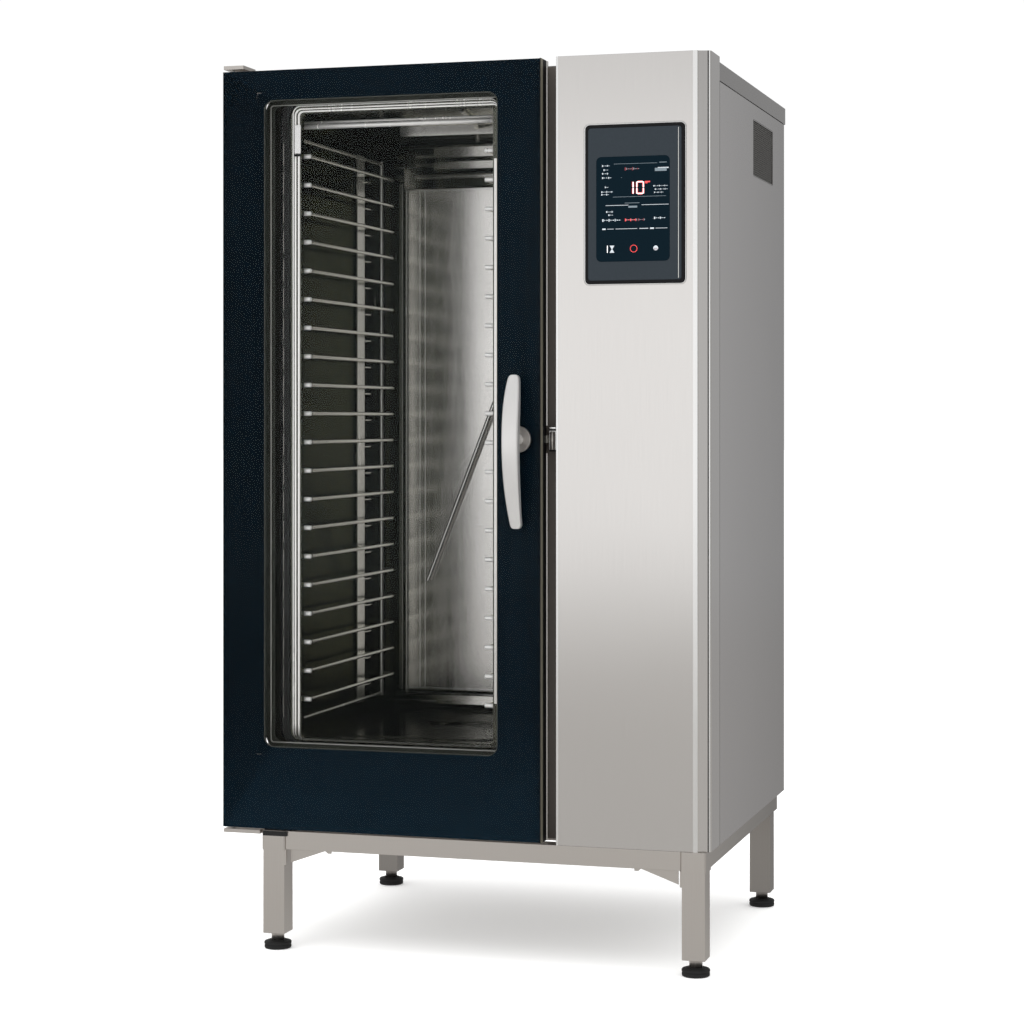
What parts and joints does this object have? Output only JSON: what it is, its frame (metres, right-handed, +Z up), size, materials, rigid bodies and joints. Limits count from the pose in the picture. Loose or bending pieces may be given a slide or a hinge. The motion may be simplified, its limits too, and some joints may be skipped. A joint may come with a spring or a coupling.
{
  "type": "combi steamer oven",
  "caption": "Tall floor-standing combi steamer oven on a square-tube stand, with a left-hinged windowed glass door, tray racks and a control column on the right.",
  "frame": {"origin": "middle of the bounding box's base, on the floor", "axes": "+Z up; -Y towards the cook, out of the door's face; +X towards the control column"},
  "size_m": [1.056, 0.952, 1.88],
  "materials": {
    "brushed_outer": "vertical brushed stainless",
    "stand_steel": "satin stainless",
    "polished_inner": "polished stainless",
    "bright_wire": "electropolished wire",
    "chrome_hardware": "satin chrome",
    "navy_enamel": "ceramic enamel fired on glass",
    "clear_glass": "tempered clear",
    "screen_glass": "dark touch glass",
    "bezel_grey": "satin graphite",
    "black_rubber": "moulded",
    "black_plastic": "fine texture",
    "board_green": "circuit board",
    "wool": "mineral wool",
    "motor_paint": "black cast motor",
    "lamp_white": "opal diffuser",
    "brass_valve": "plain"
  },
  "bodies": {
    "cabinet": {"bottom_pan": "brushed_outer", "cable_gland": "black_plastic", "cavity_collar": "polished_inner", "cavity_liner": "polished_inner", "contactor_bank": "black_plastic", "control_bezel": "bezel_grey", "control_board": "board_green", "control_column": "brushed_outer", "cooling_fan_frame": "black_plastic", "door_gasket": "black_rubber", "door_rest_pad": "black_plastic", "drain_pipe": "brushed_outer", "drain_strainer": "bright_wire", "fan_baffle": "polished_inner", "fan_motors": "motor_paint", "flue": "brushed_outer", "frame_rails": "stand_steel", "front_frame": "brushed_outer", "heating_coils": "polished_inner", "hinge_bracket_low": "stand_steel", "hinge_bracket_top": "stand_steel", "hinge_pins": "chrome_hardware", "insulation": "wool", "latch_keeper": "chrome_hardware", "left_side_panel": "brushed_outer", "leg_brackets": "stand_steel", "leg_front_left": "stand_steel", "leg_front_right": "stand_steel", "leg_rear_left": "stand_steel", "leg_rear_right": "stand_steel", "panel_screws": "chrome_hardware", "rear_air_panel": "polished_inner", "rear_panel": "brushed_outer", "right_side_panel": "brushed_outer", "side_vent_grille": "black_plastic", "spray_pipe": "bright_wire", "steam_generator": "brushed_outer", "steam_lance": "chrome_hardware", "top_lid": "brushed_outer", "touch_glass": "screen_glass", "water_valve": "brass_valve"},
    "door": {"door_frame": "brushed_outer", "door_outer_glass": "clear_glass", "door_enamel": "navy_enamel", "door_inner_glass": "clear_glass", "handle_rose": "chrome_hardware", "door_lamps": "lamp_white"},
    "handle": {"door_handle": "chrome_hardware"},
    "latch": {"latch_bolt": "chrome_hardware"},
    "upper_fan": {"fan_wheel_upper": "polished_inner"},
    "lower_fan": {"fan_wheel_lower": "polished_inner"},
    "cooling_fan": {"cooling_fan_rotor": "black_plastic"},
    "left_rack": {"rack_left_frame": "bright_wire", "rack_left_rails": "bright_wire"},
    "right_rack": {"rack_right_frame": "bright_wire", "rack_right_rails": "bright_wire"},
    "foot_front_left_body": {"foot_front_left": "black_rubber"},
    "foot_front_right_body": {"foot_front_right": "black_rubber"},
    "foot_rear_left_body": {"foot_rear_left": "black_rubber"},
    "foot_rear_right_body": {"foot_rear_right": "black_rubber"}
  },
  "joints": [
    {"name": "door_hinge", "type": "hinge", "parent": "cabinet", "child": "door", "pos_m": [-0.518, -0.374, 1.062], "axis": [0, 0, -1], "range_deg": [0, 130]},
    {"name": "handle_turn", "type": "hinge", "parent": "door", "child": "handle", "pos_m": [0.131, -0.414, 1.085], "axis": [0, -1, 0], "range_deg": [0, 75]},
    {"name": "latch_slide", "type": "slide", "parent": "door", "child": "latch", "axis": [-1, 0, 0], "range_m": [0, 0.012]},
    {"name": "upper_fan_spin", "type": "hinge", "parent": "cabinet", "child": "upper_fan", "pos_m": [0.128, 0.006, 1.44], "axis": [1, 0, 0], "continuous": true},
    {"name": "lower_fan_spin", "type": "hinge", "parent": "cabinet", "child": "lower_fan", "pos_m": [0.128, 0.006, 0.78], "axis": [1, 0, 0], "continuous": true},
    {"name": "cooling_fan_spin", "type": "hinge", "parent": "cabinet", "child": "cooling_fan", "pos_m": [0.502, 0.191, 1.723], "axis": [1, 0, 0], "continuous": true},
    {"name": "left_rack_lift", "type": "slide", "parent": "cabinet", "child": "left_rack", "axis": [0, 0, 1], "range_m": [0, 0.012]},
    {"name": "right_rack_lift", "type": "slide", "parent": "cabinet", "child": "right_rack", "axis": [0, 0, 1], "range_m": [0, 0.012]},
    {"name": "foot_front_left_screw", "type": "slide", "parent": "cabinet", "child": "foot_front_left_body", "axis": [0, 0, -1], "range_m": [0, 0.03]},
    {"name": "foot_front_right_screw", "type": "slide", "parent": "cabinet", "child": "foot_front_right_body", "axis": [0, 0, -1], "range_m": [0, 0.03]},
    {"name": "foot_rear_left_screw", "type": "slide", "parent": "cabinet", "child": "foot_rear_left_body", "axis": [0, 0, -1], "range_m": [0, 0.03]},
    {"name": "foot_rear_right_screw", "type": "slide", "parent": "cabinet", "child": "foot_rear_right_body", "axis": [0, 0, -1], "range_m": [0, 0.03]}
  ],
  "couplings": [
    {"joint": "latch_slide", "follows": "handle_turn", "m_per_rad": 0.00916}
  ]
}
